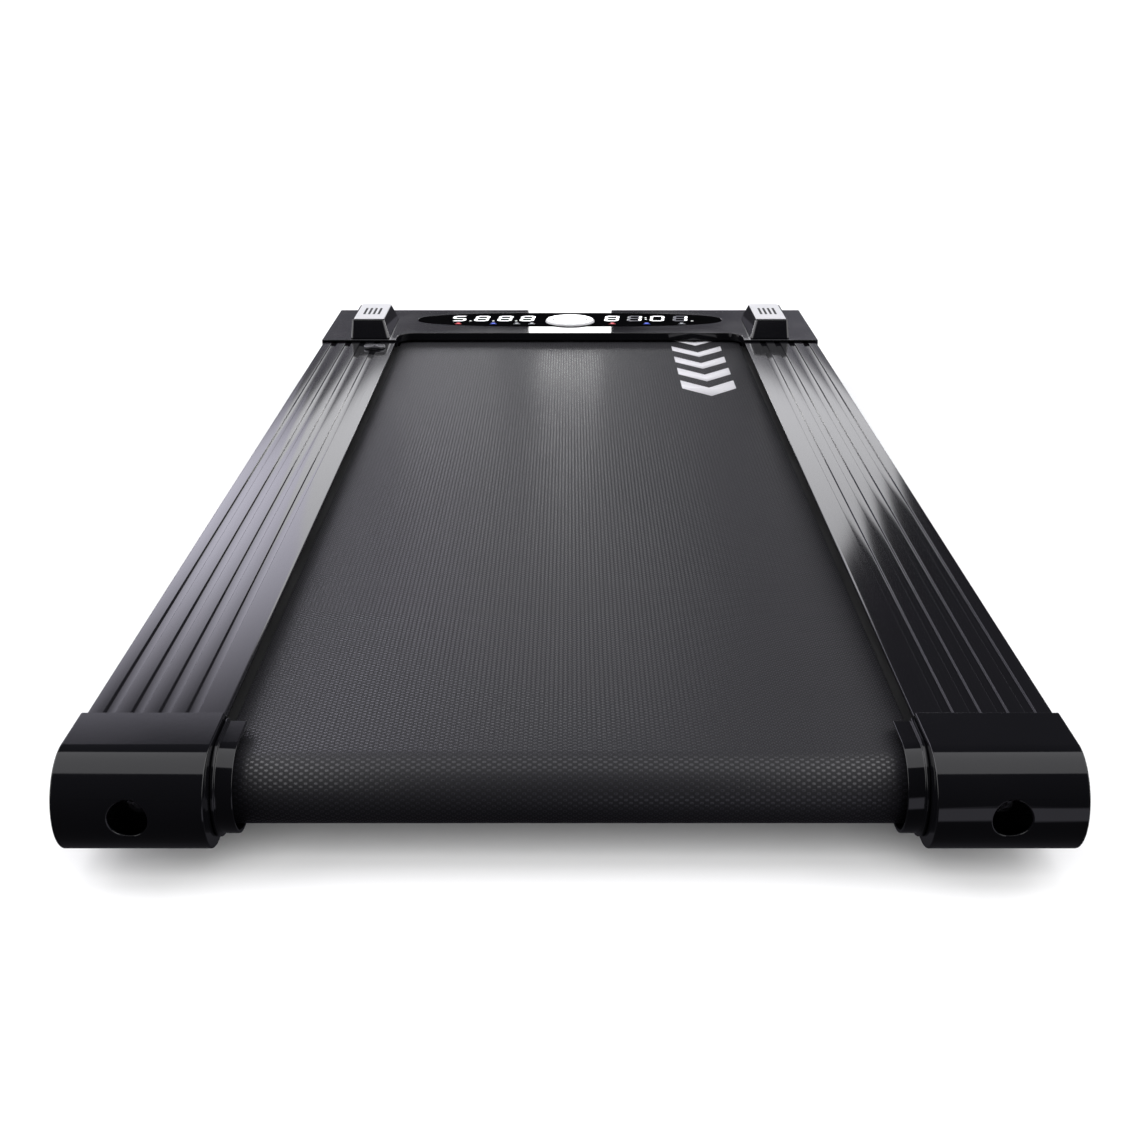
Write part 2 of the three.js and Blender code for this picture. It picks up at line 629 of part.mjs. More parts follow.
// ---- cord eyelet on the left rail, behind the block ----
const eyeletLength = 24;
const eyeletRadius = 8;
const eyeletHole = 3.4;
const eyeletThickness = 3;
const eyeletX = -(blockX0 + eyeletLength / 2 + 1);
const eyeletY = hoodRear - 31; // it lies on the rail behind the hood
const eyeletBottom = railTop + fit;
const eyelet = new THREE.Shape();
const eyeletHalf = eyeletLength / 2 - eyeletRadius;
eyelet.absarc(eyeletX + eyeletHalf, eyeletY, eyeletRadius, -Math.PI / 2, Math.PI / 2, false);
eyelet.absarc(eyeletX - eyeletHalf, eyeletY, eyeletRadius, Math.PI / 2, 1.5 * Math.PI, false);
eyelet.closePath();
add('cord_eyelet', cut(alongZ(eyelet, eyeletBottom, eyeletBottom + eyeletThickness, 10),
  rodZ(eyeletHole, railTop, railTop + 2 * eyeletThickness, eyeletX, eyeletY - 2.5, 20)), steel);

// ---- belly pan, transport wheels, power inlet and switch ----
const panTop = seam - fit;
const wellX0 = wheelX - wheelWidth / 2 - 3;
const wellX1 = wheelX + wheelWidth / 2 + 3;
const wellRear = wheelY - wheelRadius - 6;
const panOutside = solid(alongX(frontNose(noseRadius, hoodRear, -1, panTop), -halfWidth, halfWidth, 20));
const panInside = solid(alongX(frontNose(noseRadius - coverWall, hoodRear - 1, -1, panTop),
  -halfWidth + coverWall, halfWidth - coverWall, 12)).add(solid(box(-halfWidth + coverWall,
  halfWidth - coverWall, hoodRear - 1, frontNoseY, panTop - 1, panTop + 2)));

const inletWidth = 30;
const inletHeight = 22;
const inletX = -plateInner + 30;
const inletZ = panTop - 2 - inletHeight / 2;
const inletFront = frontEnd - 10;
const switchWidth = 26;
const switchHeight = 18;
const switchX = inletX + 38;
const switchZ = inletZ;
const portHole = (x, z, width, height) => box(x - width / 2 - fit, x + width / 2 + fit,
  frontNoseY, frontEnd + 1, z - height / 2 - fit, z + height / 2 + fit);

const ventCount = 9;
const ventPitch = 26;
const ventSlots = [];
for (let i = 0; i < ventCount; i++) {
  const x = (i - (ventCount - 1) / 2) * ventPitch;
  ventSlots.push(box(x - 3, x + 3, hoodRear + 8, railFront - 4, underside - 1, underside + coverWall + 1));
}

let pan = panOutside.subtract(panInside);
for (const side of [-1, 1]) {
  const [x0, x1] = side > 0 ? [wellX0, wellX1] : [-wellX1, -wellX0];
  const well = solid(box(x0 - wellWall, x1 + wellWall, wellRear - wellWall, frontEnd, underside, panTop));
  pan = pan.add(well.intersect(panOutside));
  pan = pan.subtract(solid(box(x0, x1, wellRear, frontEnd + 1, underside - 1, wheelZ + wheelRadius + 1)));
  pan = pan.subtract(solid(rodX(wheelPinRadius + fit, x0 - wellWall - 1, x1 + wellWall + 1, wheelY, wheelZ, 16)));
}
add('belly_pan', cut(pan, portHole(inletX, inletZ, inletWidth, inletHeight),
  portHole(switchX, switchZ, switchWidth, switchHeight), ...ventSlots), mattePlastic);

const tyreEdge = 3;
addPair('transport_wheel', turnedX([[wheelPinRadius + 0.4, wheelX - wheelWidth / 2],
  [wheelRadius - tyreEdge, wheelX - wheelWidth / 2], [wheelRadius, wheelX - wheelWidth / 2 + tyreEdge],
  [wheelRadius, wheelX + wheelWidth / 2 - tyreEdge], [wheelRadius - tyreEdge, wheelX + wheelWidth / 2],
  [wheelPinRadius + 0.4, wheelX + wheelWidth / 2]], wheelY, wheelZ, 28), mattePlastic);
addPair('wheel_pin', rodX(wheelPinRadius, wellX0 - wellWall, wellX1 + wellWall, wheelY, wheelZ, 12), steel);

const inletBack = inletFront - 20;
const socketDepth = 15;
const socketWall = 3.5;
const pinLength = 11;
const inletPins = [[-5.5, -1.5], [0, 2.5], [5.5, -1.5]].map(([x, z]) => box(inletX + x - 1, inletX + x + 1,
  inletFront - socketDepth - 1, inletFront - socketDepth + pinLength, inletZ + z - 2, inletZ + z + 2));
const inletShell = solid(box(inletX - inletWidth / 2, inletX + inletWidth / 2, inletBack, inletFront,
  inletZ - inletHeight / 2, inletZ + inletHeight / 2))
  .subtract(solid(box(inletX - inletWidth / 2 + socketWall, inletX + inletWidth / 2 - socketWall,
    inletFront - socketDepth, inletFront + 1, inletZ - inletHeight / 2 + socketWall,
    inletZ + inletHeight / 2 - socketWall)));
add('power_inlet', shape(inletPins.reduce((all, pin) => all.add(solid(pin)), inletShell)), mattePlastic);

const switchBack = inletFront - 26;
const rockerHalf = switchWidth / 2 - 3;
const rockerY = inletFront - 9;
const switchWall = 2.5;
add('switch_housing', cut(box(switchX - switchWidth / 2, switchX + switchWidth / 2, switchBack, inletFront,
  switchZ - switchHeight / 2, switchZ + switchHeight / 2),
box(switchX - switchWidth / 2 + switchWall, switchX + switchWidth / 2 - switchWall,
  rockerY - rockerHalf - 1.5, inletFront + 1, switchZ - switchHeight / 2 + switchWall,
  switchZ + switchHeight / 2 - switchWall)), mattePlastic);

// the rocker turns about a vertical pin, with a shallow V across its face
const rockerFace = new THREE.Shape();
rockerFace.moveTo(switchX - rockerHalf, rockerY);
rockerFace.absarc(switchX, rockerY, rockerHalf, Math.PI, 2 * Math.PI, false);
rockerFace.lineTo(switchX + rockerHalf - 1, rockerY + 9);
rockerFace.lineTo(switchX, rockerY + 7.5);
rockerFace.lineTo(switchX - rockerHalf + 1, rockerY + 9);
rockerFace.closePath();
add('power_switch', alongZ(rockerFace, switchZ - switchHeight / 2 + switchWall + fit,
  switchZ + switchHeight / 2 - switchWall - fit, 12), mattePlastic);

// ---- feet ----
for (const [end, y] of [['rear', rearEnd + rearFootInset], ['front', frontEnd - frontFootInset]]) {
  const footTop = railBottom - fit;
  addPair(`${end}_foot`, turnedZ([[0, 0], [footRadius - 1.5, 0], [footRadius, 1.5], [footRadius - 3, footTop],
    [0, footTop]], boltX, y, 24), rubber);
}

export default treadmill;
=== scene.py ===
import math
import bmesh
import bpy
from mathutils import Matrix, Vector
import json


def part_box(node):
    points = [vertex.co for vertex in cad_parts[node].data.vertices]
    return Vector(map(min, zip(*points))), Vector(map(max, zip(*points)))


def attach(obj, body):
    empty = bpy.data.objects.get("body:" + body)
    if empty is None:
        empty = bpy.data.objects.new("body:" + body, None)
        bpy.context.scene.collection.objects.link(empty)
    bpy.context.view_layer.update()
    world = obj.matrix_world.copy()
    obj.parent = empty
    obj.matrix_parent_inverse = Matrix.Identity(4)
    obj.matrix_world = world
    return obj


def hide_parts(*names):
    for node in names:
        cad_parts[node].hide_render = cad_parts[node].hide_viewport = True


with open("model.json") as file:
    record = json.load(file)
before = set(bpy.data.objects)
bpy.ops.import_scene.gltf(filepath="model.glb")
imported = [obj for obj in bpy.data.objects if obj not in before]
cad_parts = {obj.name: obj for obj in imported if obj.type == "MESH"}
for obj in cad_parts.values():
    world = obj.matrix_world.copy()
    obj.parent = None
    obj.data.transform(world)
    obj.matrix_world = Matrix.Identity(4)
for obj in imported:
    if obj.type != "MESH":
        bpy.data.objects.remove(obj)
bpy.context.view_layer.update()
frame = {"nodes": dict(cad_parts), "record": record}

nodes = frame["nodes"]
bodies = frame["record"]["behaviour"]["bodies"]
mm = 0.001

# where things are, read from the frame
beltLow, beltHigh = (Vector(corner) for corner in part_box("running_belt"))
hoodLow, hoodHigh = (Vector(corner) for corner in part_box("front_hood"))
windowLow, windowHigh = (Vector(corner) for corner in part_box("display_window"))
buttonLow, buttonHigh = (Vector(corner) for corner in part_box("start_button"))
ringLow, ringHigh = (Vector(corner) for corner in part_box("button_ring"))
windowCentre = (windowLow + windowHigh) / 2
buttonCentre = (buttonLow + buttonHigh) / 2


# shader building
class Signal:
    # a node's output that can be used in plain arithmetic
    def __init__(self, graph, socket):
        self.graph = graph
        self.socket = socket

    def math(self, operation, *others, first=None):
        values = (first, self) if first is not None else (self, *others)
        return self.graph.node("ShaderNodeMath", {"operation": operation}, dict(enumerate(values)))

    def __add__(self, other):
        return self.math("ADD", other)

    def __radd__(self, other):
        return self.math("ADD", first=other)

    def __sub__(self, other):
        return self.math("SUBTRACT", other)

    def __rsub__(self, other):
        return self.math("SUBTRACT", first=other)

    def __mul__(self, other):
        return self.math("MULTIPLY", other)

    def __rmul__(self, other):
        return self.math("MULTIPLY", first=other)

    def __gt__(self, other):
        return self.math("GREATER_THAN", other)

    def __lt__(self, other):
        return self.math("LESS_THAN", other)


class Graph:
    def __init__(self, owner):
        owner.use_nodes = True
        self.tree = owner.node_tree
        self.tree.nodes.clear()

    def node(self, kind, settings=None, inputs=None, output=0):
        made = self.tree.nodes.new(kind)
        for name, value in (settings or {}).items():
            setattr(made, name, value)
        for name, value in (inputs or {}).items():
            if isinstance(value, Signal):
                self.tree.links.new(value.socket, made.inputs[name])
            else:
                made.inputs[name].default_value = value
        return Signal(self, made.outputs[output]) if len(made.outputs) else None

    def mix(self, factor, a, b):
        inputs = {0: factor, 6: a, 7: b}
        return self.node("ShaderNodeMix", {"data_type": "RGBA"}, inputs, 2)

    def place(self, stretch=(1, 1, 1)):
        # position in the part's frame, in metres, stretched for grain that runs one way
        at = self.node("ShaderNodeTexCoord", output="Object")
        return self.node("ShaderNodeMapping", {}, {"Vector": at, "Scale": stretch})

    def noise(self, scale, detail=2, vector=None):
        inputs = {"Vector": vector or self.place(), "Scale": scale, "Detail": detail}
        return self.node("ShaderNodeTexNoise", {}, inputs)

    def ranged(self, value, low, high, start=0.0, end=1.0, smooth=False):
        style = "SMOOTHSTEP" if smooth else "LINEAR"
        inputs = {"Value": value, "From Min": low, "From Max": high, "To Min": start, "To Max": end}
        return self.node("ShaderNodeMapRange", {"interpolation_type": style}, inputs)

    def bump(self, height, distance, strength=1.0, under=None):
        inputs = {"Height": height, "Distance": distance, "Strength": strength}
        if under:
            inputs["Normal"] = under
        return self.node("ShaderNodeBump", {}, inputs)

    def principled(self, **sockets):
        inputs = {spaced(name): value for name, value in sockets.items()}
        return self.node("ShaderNodeBsdfPrincipled", {}, inputs)

    def output(self, shader):
        self.node("ShaderNodeOutputMaterial", {}, {"Surface": shader})


def spaced(name):
    # baseColor -> Base Color
    if name == "ior":
        return "IOR"
    if name == "specular":
        return "Specular IOR Level"
    return "".join(" " + letter if letter.isupper() else letter for letter in name).title()


def grey(value, blue=0.0):
    return (value, value, value * (1 + blue), 1)


materials = {}


def material(name):
    # each finish is made by the function that carries its name, once
    def wrap(build):
        made = bpy.data.materials.new(name)
        build(Graph(made))
        materials[name] = made
        return build
    return wrap


@material("glossBlack")
def glossBlack(g):
    look = {"smudges": 14, "peel": 260, "peelDepth": 0.004 * mm}
    smudge = g.noise(look["smudges"], 4)
    colour = g.mix(smudge, (0.0035, 0.0035, 0.0045, 1), (0.0060, 0.0060, 0.0075, 1))
    rough = g.ranged(smudge, 0.3, 0.75, 0.05, 0.10)
    normal = g.bump(g.noise(look["peel"], 1), look["peelDepth"])
    g.output(g.principled(baseColor=colour, roughness=rough, normal=normal, ior=1.5))


@material("windowGlass")
def windowGlass(g):
    smudge = g.noise(22, 4)
    colour = g.mix(smudge, grey(0.0020), grey(0.0035, 0.2))
    rough = g.ranged(smudge, 0.3, 0.8, 0.28, 0.36)
    normal = g.bump(g.noise(300, 1), 0.004 * mm)
    g.output(g.principled(baseColor=colour, roughness=rough, normal=normal, specular=0.0))


@material("anodisedRail")
def anodisedRail(g):
    look = {"grainAcross": 2600, "patches": 6}
    grain = g.noise(1, 3, g.place((look["grainAcross"], 9, look["grainAcross"])))
    patches = g.noise(look["patches"], 3)
    colour = g.mix(grain, (0.0040, 0.0040, 0.0050, 1), (0.0085, 0.0082, 0.0100, 1))
    rough = g.ranged(grain, 0.2, 0.8, 0.050, 0.080) + patches * 0.02
    normal = g.bump(grain, 0.0008 * mm)
    g.output(g.principled(baseColor=colour, roughness=rough, normal=normal, ior=1.52))


@material("weaveRubber")
def weaveRubber(g):
    # diamond embossing: rows half a cell apart, each row shifted by half a cell
    look = {"cell": 5.7 * mm, "row": 3.75 * mm, "depth": 0.062 * mm, "grit": 2400, "gritDepth": 0.01 * mm}
    across = g.node("ShaderNodeSeparateXYZ", {}, {0: g.node("ShaderNodeUVMap")}, 0)
    along = g.node("ShaderNodeSeparateXYZ", {}, {0: g.node("ShaderNodeUVMap")}, 1)
    acrossTurn, alongTurn = (2 * math.pi / look[size] for size in ("cell", "row"))
    weave = (across * acrossTurn).math("COSINE") * (along * alongTurn).math("COSINE")
    height = g.ranged(weave, -0.1, 0.85, 0, 1, smooth=True)
    worn = g.noise(9, 4)
    # colour follows the emboss height: the hollows get a far darker colour as painted shade and the crests a
    # lighter one; worn only varies the tone at random
    low = g.mix(worn, (0.0066, 0.0064, 0.0084, 1), (0.0090, 0.0087, 0.0112, 1))
    high = g.mix(worn, (0.0310, 0.0303, 0.0362, 1), (0.0375, 0.0367, 0.0435, 1))
    colour = g.mix(height, low, high)
    rough = g.ranged(height, 0, 1, 0.66, 0.24) + worn * 0.04
    grit = g.bump(g.noise(look["grit"], 2), look["gritDepth"])
    normal = g.bump(height, look["depth"], under=grit)
    g.output(g.principled(baseColor=colour, roughness=rough, normal=normal, ior=1.48))


@material("beltPrint")
def beltPrint(g):
    worn = g.noise(160, 5)
    scuff = g.ranged(worn, 0.62, 0.72, 0, 0.35)
    colour = g.mix(scuff, (0.80, 0.79, 0.82, 1), (0.42, 0.42, 0.44, 1))
    normal = g.bump(g.noise(500, 2), 0.05 * mm)
    rough = g.ranged(worn, 0.3, 0.8, 0.45, 0.6)
    g.output(g.principled(baseColor=colour, roughness=rough, normal=normal))


@material("moulded")
def moulded(g):
    grain = g.noise(1400, 2)
    patches = g.noise(25, 3)
    colour = g.mix(patches, grey(0.014, 0.1), grey(0.021, 0.1))
    rough = g.ranged(grain, 0.3, 0.7, 0.5, 0.68)
    g.output(g.principled(baseColor=colour, roughness=rough, normal=g.bump(grain, 0.05 * mm)))


@material("softRubber")
def softRubber(g):
    grain = g.noise(900, 3)
    dust = g.ranged(g.noise(40, 5), 0.5, 0.8, 0, 0.5)
    colour = g.mix(dust, grey(0.011), grey(0.030))
    rough = g.ranged(dust, 0, 0.5, 0.75, 0.92)
    g.output(g.principled(baseColor=colour, roughness=rough, normal=g.bump(grain, 0.06 * mm)))


@material("zincSteel")
def zincSteel(g):
    turned = g.noise(1, 3, g.place((60, 900, 900)))
    spangle = g.noise(120, 3)
    colour = g.mix(spangle, (0.42, 0.42, 0.44, 1), (0.60, 0.60, 0.61, 1))
    rough = g.ranged(turned, 0.3, 0.7, 0.24, 0.40)
    normal = g.bump(turned, 0.012 * mm)
    g.output(g.principled(baseColor=colour, roughness=rough, normal=normal, metallic=1.0))


@material("darkSteel")
def darkSteel(g):
    worn = g.noise(260, 3)
    colour = g.mix(worn, (0.13, 0.13, 0.14, 1), (0.22, 0.22, 0.23, 1))
    rough = g.ranged(worn, 0.3, 0.7, 0.26, 0.40)
    g.output(g.principled(baseColor=colour, roughness=rough, normal=g.bump(worn, 0.01 * mm), metallic=1.0))


@material("powderCoat")
def powderCoat(g):
    grain = g.noise(1100, 2)
    colour = g.mix(g.noise(30, 3), grey(0.016), grey(0.026, 0.1))
    rough = g.ranged(grain, 0.3, 0.7, 0.42, 0.55)
    g.output(g.principled(baseColor=colour, roughness=rough, normal=g.bump(grain, 0.05 * mm)))


@material("brightPlate")
def brightPlate(g):
    brushed = g.noise(1, 3, g.place((2200, 40, 2200)))
    colour = g.mix(brushed, (0.70, 0.70, 0.72, 1), (0.80, 0.80, 0.82, 1))
    rough = g.ranged(brushed, 0.2, 0.8, 0.30, 0.42)
    normal = g.bump(brushed, 0.01 * mm)
    g.output(g.principled(baseColor=colour, roughness=rough, normal=normal, metallic=0.05))


@material("millAluminium")
def millAluminium(g):
    brushed = g.noise(1, 3, g.place((1500, 30, 1500)))
    colour = g.mix(brushed, (0.60, 0.60, 0.62, 1), (0.75, 0.75, 0.77, 1))
    rough = g.ranged(brushed, 0.2, 0.8, 0.28, 0.42)
    g.output(g.principled(baseColor=colour, roughness=rough, metallic=1.0))


@material("whitePlastic")
def whitePlastic(g):
    clouds = g.noise(60, 3)
    colour = g.mix(clouds, (0.78, 0.78, 0.79, 1), (0.86, 0.86, 0.87, 1))
    rough = g.ranged(clouds, 0.3, 0.7, 0.22, 0.32)
    normal = g.bump(g.noise(600, 1), 0.01 * mm)
    g.output(g.principled(baseColor=colour, roughness=rough, normal=normal))


@material("solderMask")
def solderMask(g):
    traces = g.node("ShaderNodeTexVoronoi", {"distance": "MANHATTAN"}, {"Vector": g.place(), "Scale": 260})
    copper = g.ranged(traces, 0.30, 0.34, 0, 1)
    colour = g.mix(copper, (0.010, 0.085, 0.030, 1), (0.025, 0.150, 0.060, 1))
    rough = g.ranged(traces, 0, 1, 0.30, 0.45)
    g.output(g.principled(baseColor=colour, roughness=rough, normal=g.bump(copper, 0.03 * mm)))


@material("deckLaminate")
def deckLaminate(g):
    grain = g.noise(1, 4, g.place((220, 12, 220)))
    colour = g.mix(grain, grey(0.018), grey(0.040))
    rough = g.ranged(grain, 0.3, 0.7, 0.35, 0.5)
    g.output(g.principled(baseColor=colour, roughness=rough, normal=g.bump(grain, 0.03 * mm)))


def litSegment(name, colour, strength):
    # a lit display segment, a little uneven as real diodes are
    made = bpy.data.materials.new(name)
    g = Graph(made)
    uneven = g.ranged(g.noise(420, 2), 0.3, 0.7, 0.75, 1.0)
    glow = g.mix(uneven, (0, 0, 0, 1), colour)
    g.output(g.principled(baseColor=glow, roughness=0.4, emissionColor=glow, emissionStrength=strength))
    materials[name] = made


segmentColours = {"white": (1, 1, 1, 1), "red": (0.9, 0.10, 0.12, 1), "blue": (0.10, 0.16, 0.85, 1),
                  "soft": (0.45, 0.46, 0.50, 1), "dim": (0.10, 0.10, 0.12, 1)}
for lampName, lampColour in segmentColours.items():
    litSegment(f"{lampName}Segment", lampColour, 1.0 if lampName == "white" else 0.55)

print("finishes made:", len(materials))


# mesh building
def bodyOf(node):
    return next(body for body, members in bodies.items() if node in members)


def smoothed(obj, bevel=0.0, segments=2, angle=28):
    for face in obj.data.polygons:
        face.use_smooth = True
    if bevel:
        edge = obj.modifiers.new("edges", "BEVEL")
        edge.width = bevel
        edge.segments = segments
        edge.limit_method = "ANGLE"
        edge.angle_limit = math.radians(angle)
        edge.harden_normals = False
        edge.use_clamp_overlap = False
        edge.miter_outer = "MITER_ARC"
        edge.loop_slide = False
        flats = obj.modifiers.new("flats", "WEIGHTED_NORMAL")
        flats.mode = "FACE_AREA"
        flats.weight = 100
    return obj


def settle(obj, finish, node=None, body="frame", bevel=0.0, segments=2):
    obj.data.materials.clear()
    obj.data.materials.append(materials[finish])
    smoothed(obj, bevel, segments)
    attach(obj, bodyOf(node) if node else body)
    if node:
        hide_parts(node)
    return obj


def made(name, work):
    # a bmesh turned into an object, faces turned outwards
    bmesh.ops.recalc_face_normals(work, faces=work.faces)
    mesh = bpy.data.meshes.new(name)
    work.to_mesh(mesh)
    work.free()
    obj = bpy.data.objects.new(name, mesh)
    bpy.context.scene.collection.objects.link(obj)
    return obj


def refined(node, finish, bevel, segments=2):
    # the node's own solid with clean flat faces and real edge radii
    work = bmesh.new()
    work.from_mesh(nodes[node].data)
    bmesh.ops.remove_doubles(work, verts=work.verts, dist=0.002 * mm)
    return settle(made(f"{node}_shell", work), finish, node, bevel=bevel, segments=segments)


def turned(name, profile, centre, axis="X", steps=64):
    # closed profile of (radius, distance along the axis), turned full circle
    work = bmesh.new()
    rings = []
    for step in range(steps):
        turn = 2 * math.pi * step / steps
        ring = []
        for radius, along in profile:
            side, up = radius * math.cos(turn), radius * math.sin(turn)
            point = {"X": (along, side, up), "Y": (up, along, side), "Z": (side, up, along)}[axis]
            ring.append(work.verts.new(Vector(point) + Vector(centre)))
        rings.append(ring)
    count = len(profile)
    for step in range(steps):
        here, there = rings[step], rings[(step + 1) % steps]
        for i in range(count):
            j = (i + 1) % count
            work.faces.new((here[i], here[j], there[j], there[i]))
    bmesh.ops.remove_doubles(work, verts=work.verts, dist=0.001 * mm)
    return made(name, work)


def prism(work, outline, low, high):
    # a flat outline of (x, y) raised from low to high
    bottom = [work.verts.new((x, y, low)) for x, y in outline]
    topRing = [work.verts.new((x, y, high)) for x, y in outline]
    work.faces.new(list(reversed(bottom)))
    work.faces.new(topRing)
    for i in range(len(outline)):
        j = (i + 1) % len(outline)
        work.faces.new((bottom[i], bottom[j], topRing[j], topRing[i]))


# running belt
belt = {"thickness": 2 * mm, "edge": 0.5 * mm, "bendSteps": 40, "runSteps": 24}


def beltStations():
    # points round the loop on its outer face: (y, z, outward y, outward z, distance travelled)
    radius = (beltHigh.z - beltLow.z) / 2
    centreZ = (beltHigh.z + beltLow.z) / 2
    rear, front = beltLow.y + radius, beltHigh.y - radius
    stations = []
    for i in range(belt["runSteps"]):
        share = i / belt["runSteps"]
        stations.append((front + (rear - front) * share, beltHigh.z, 0, 1, (front - rear) * share))
    bend = math.pi * radius
    for i in range(belt["bendSteps"]):
        turn = math.pi * i / belt["bendSteps"]
        out = (-math.sin(turn), math.cos(turn))
        travelled = (front - rear) + bend * i / belt["bendSteps"]
        stations.append((rear + radius * out[0], centreZ + radius * out[1], *out, travelled))
    for i in range(belt["runSteps"]):
        share = i / belt["runSteps"]
        travelled = (front - rear) * (1 + share) + bend
        stations.append((rear + (front - rear) * share, beltLow.z, 0, -1, travelled))
    for i in range(belt["bendSteps"]):
        turn = math.pi * i / belt["bendSteps"]
        out = (math.sin(turn), -math.cos(turn))
        travelled = (front - rear) * 2 + bend * (1 + i / belt["bendSteps"])
        stations.append((front + radius * out[0], centreZ + radius * out[1], *out, travelled))
    return stations, (front - rear) * 2 + 2 * bend


def makeBelt():
    stations, total = beltStations()
    half = beltHigh.x
    edge, deep = belt["edge"], belt["thickness"]
    section = [(-half + edge, 0), (0, 0), (half - edge, 0), (half, edge), (half, deep - edge),
               (half - edge, deep), (-half + edge, deep), (-half, deep - edge), (-half, edge)]
    work = bmesh.new()
    uv = work.loops.layers.uv.new("UVMap")
    rings = []
    for y, z, outY, outZ, _ in stations:
        rings.append([work.verts.new((x, y - outY * depth, z - outZ * depth)) for x, depth in section])
    for i, here in enumerate(rings):
        there = rings[(i + 1) % len(rings)]
        start = stations[i][4]
        end = stations[i + 1][4] if i + 1 < len(rings) else total
        for a in range(len(section)):
            b = (a + 1) % len(section)
            face = work.faces.new((here[a], here[b], there[b], there[a]))
            for loop, spot in zip(face.loops, ((a, start), (b, start), (b, end), (a, end))):
                loop[uv].uv = (section[spot[0]][0], spot[1])
    return settle(made("running_belt_weave", work), "weaveRubber", "running_belt")


makeBelt()

# printed arrows near the hood; each points to the rear and the farther ones are drawn shorter
chevrons = {"x": 145.8 * mm, "width": 56.5 * mm, "drop": 31 * mm, "height": 0.25 * mm,
            "tips": (212, 272, 327, 382, 437), "arms": (33, 28.5, 25.5, 21.5, 19.5)}


def makeChevrons():
    work = bmesh.new()
    base = beltHigh.z + 0.03 * mm
    half = chevrons["width"] / 2
    for tip, arm in zip(chevrons["tips"], chevrons["arms"]):
        y, arm = tip * mm, arm * mm
        shoulder = y + chevrons["drop"]
        middle = chevrons["x"]
        outline = [(middle, y), (middle + half, shoulder), (middle + half, shoulder + arm),
                   (middle, y + arm), (middle - half, shoulder + arm), (middle - half, shoulder)]
        prism(work, outline, base, base + chevrons["height"])
    return settle(made("belt_chevrons", work), "beltPrint")


makeChevrons()
print("belt made")

# shells and metalwork that keep the frame's shape
for side in ("left", "right"):
    refined(f"{side}_rail", "anodisedRail", 0.5 * mm)
    refined(f"{side}_end_cap", "glossBlack", 0.9 * mm, 3)
    refined(f"{side}_belt_guard", "glossBlack", 0.6 * mm, 3)
    refined(f"{side}_corner_block", "glossBlack", 0.7 * mm, 3)
    refined(f"{side}_block_plate", "brightPlate", 0.3 * mm)
    refined(f"{side}_tension_plate", "zincSteel", 0.4 * mm)
    refined(f"{side}_rear_bearing", "zincSteel", 0.4 * mm)
    refined(f"{side}_front_bearing", "zincSteel", 0.4 * mm)
    refined(f"{side}_wheel_pin", "zincSteel", 0.4 * mm)
    refined(f"{side}_rear_deck_cushion", "softRubber", 0.8 * mm)
    refined(f"{side}_front_deck_cushion", "softRubber", 0.8 * mm)
refined("front_hood", "glossBlack", 0.7 * mm, 3)
refined("belly_pan", "moulded", 0.6 * mm)
refined("display_window", "windowGlass", 0.4 * mm)
refined("cord_eyelet", "darkSteel", 0.8 * mm, 3)
refined("deck_board", "deckLaminate", 1.0 * mm)
refined("front_frame", "powderCoat", 0.4 * mm)
refined("motor_body", "powderCoat", 0.8 * mm)
refined("motor_bracket", "powderCoat", 0.4 * mm)
refined("motor_fan", "moulded", 0.3 * mm)
refined("driven_pulley", "moulded", 0.5 * mm)
refined("motor_pulley", "zincSteel", 0.4 * mm)
refined("motor_shaft", "zincSteel", 0.5 * mm)
refined("front_axle", "zincSteel", 0.6 * mm)
refined("rear_axle", "zincSteel", 0.6 * mm)
refined("front_roller", "zincSteel", 0.6 * mm)
refined("rear_roller", "zincSteel", 0.6 * mm)
refined("drive_belt", "softRubber", 0.4 * mm)
refined("controller_board", "solderMask", 0.2 * mm)
refined("display_board", "solderMask", 0.2 * mm)
refined("controller_heatsink", "millAluminium", 0.2 * mm)
refined("power_inlet", "moulded", 0.4 * mm)
refined("switch_housing", "moulded", 0.4 * mm)
refined("power_switch", "moulded", 0.5 * mm)
for end in ("rear", "middle", "front"):
    refined(f"{end}_cross_member", "powderCoat", 0.8 * mm)
print("shells refined")

# start button and its ring
button = {"radius": 20 * mm, "groove": 13.5 * mm, "dome": 0.8 * mm, "gap": 0.6 * mm, "lip": 3 * mm,
          "flange": 2.4 * mm, "outerRound": 2.4 * mm, "innerRound": 0.8 * mm}


